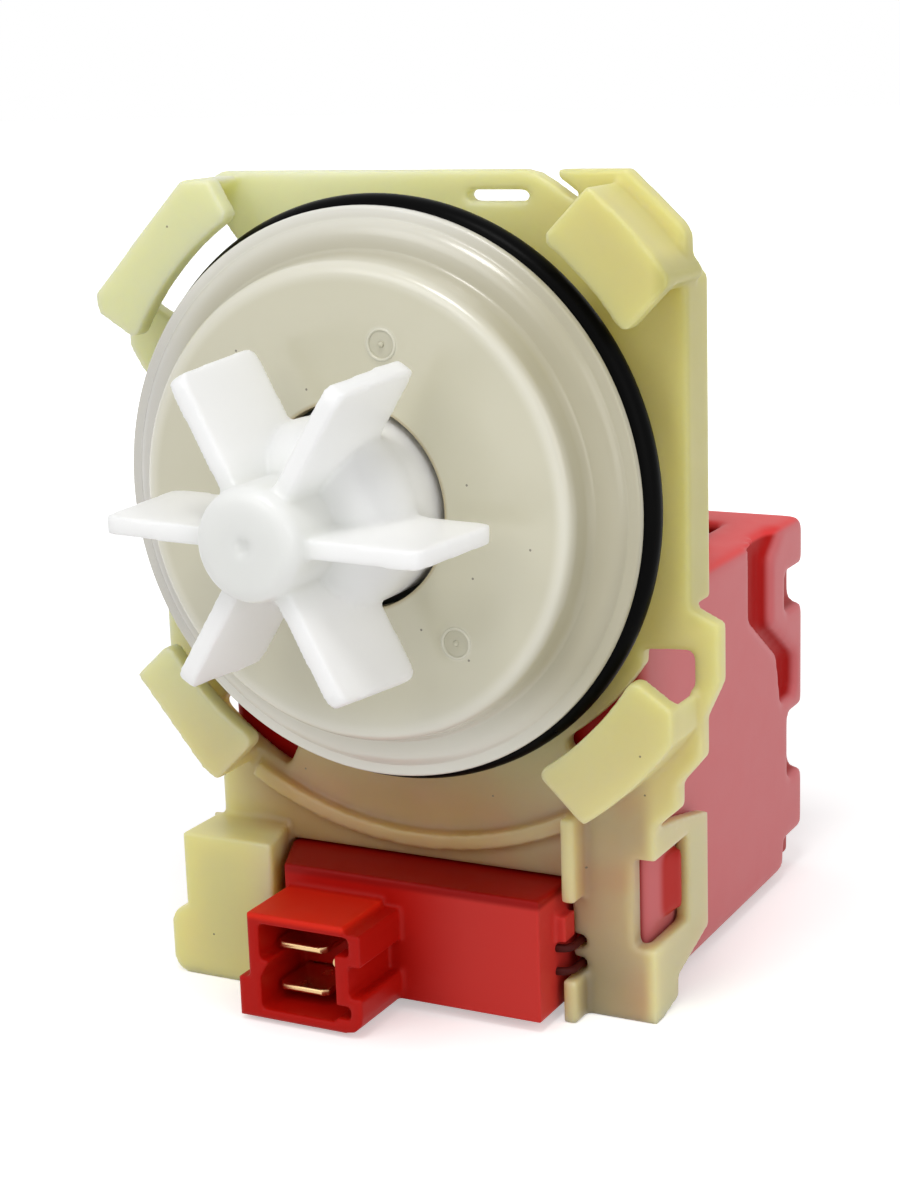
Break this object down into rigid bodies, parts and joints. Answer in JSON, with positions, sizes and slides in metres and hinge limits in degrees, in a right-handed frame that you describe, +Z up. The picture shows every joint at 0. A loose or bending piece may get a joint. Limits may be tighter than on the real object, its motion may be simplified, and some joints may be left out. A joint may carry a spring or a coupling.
{
  "type": "washer drain pump",
  "caption": "Washer drain pump: vaned impeller on a wet rotor, sealed round cover, snap-in nylon bracket and a red boxed coil with a tab connector.",
  "frame": {"origin": "on the pump's axis, in the middle of the cover's locating lip", "axes": "-Y along the shaft towards the impeller's nose, +Y towards the motor's rear, +Z up, +X to the right seen from the impeller side"},
  "size_m": [0.0716, 0.0891, 0.0923],
  "materials": {
    "nylon_bracket": "natural nylon, slightly translucent",
    "cream_cover": "moulded, satin",
    "white_impeller": "moulded, satin",
    "red_plastic": "moulded, satin",
    "grey_holder": "moulded",
    "black_carrier": "moulded",
    "seal_rubber": "smooth",
    "graphite_bush": "ground",
    "steel_plain": "plain",
    "magnet_ferrite": "sintered ferrite",
    "core_laminations": "stacked sheet",
    "copper_winding": "enamelled wire",
    "tab_brass": "plain",
    "lead_sleeve": "sleeved wire"
  },
  "bodies": {
    "root": {"mounting_bracket": "nylon_bracket", "front_cover": "cream_cover", "rotor_can": "cream_cover", "bearing_holder": "grey_holder", "cover_o_ring": "seal_rubber", "shaft_seal": "seal_rubber", "front_bearing_rubber": "seal_rubber", "rear_bearing_rubber": "seal_rubber", "front_bearing_bush": "graphite_bush", "rear_bearing_bush": "graphite_bush", "front_thrust_washer": "steel_plain", "rear_thrust_washer": "steel_plain", "stator_core": "core_laminations", "core_rivets": "steel_plain", "core_screws": "steel_plain", "left_bobbin": "red_plastic", "right_bobbin": "red_plastic", "left_winding": "copper_winding", "right_winding": "copper_winding", "thermal_cutout": "black_carrier", "coil_cover": "red_plastic", "coil_lid_front": "red_plastic", "coil_lid_rear": "red_plastic", "terminal_block": "red_plastic", "terminal_tab_upper": "tab_brass", "terminal_tab_lower": "tab_brass", "keying_pin": "tab_brass", "coil_lead_upper": "lead_sleeve", "coil_lead_lower": "lead_sleeve"},
    "rotor": {"rotor_shaft": "steel_plain", "magnet_carrier": "black_carrier", "rotor_magnet": "magnet_ferrite", "magnet_end_ring": "black_carrier", "drive_dog": "black_carrier"},
    "impeller": {"impeller": "white_impeller", "impeller_hub_cap": "white_impeller"}
  },
  "joints": [
    {"name": "rotor_spin", "type": "hinge", "parent": "root", "child": "rotor", "pos_m": [0, 0, 0], "axis": [0, 1, 0], "continuous": true},
    {"name": "impeller_play", "type": "hinge", "parent": "rotor", "child": "impeller", "pos_m": [0, 0, 0], "axis": [0, 1, 0], "range_deg": [-90, 90]}
  ]
}
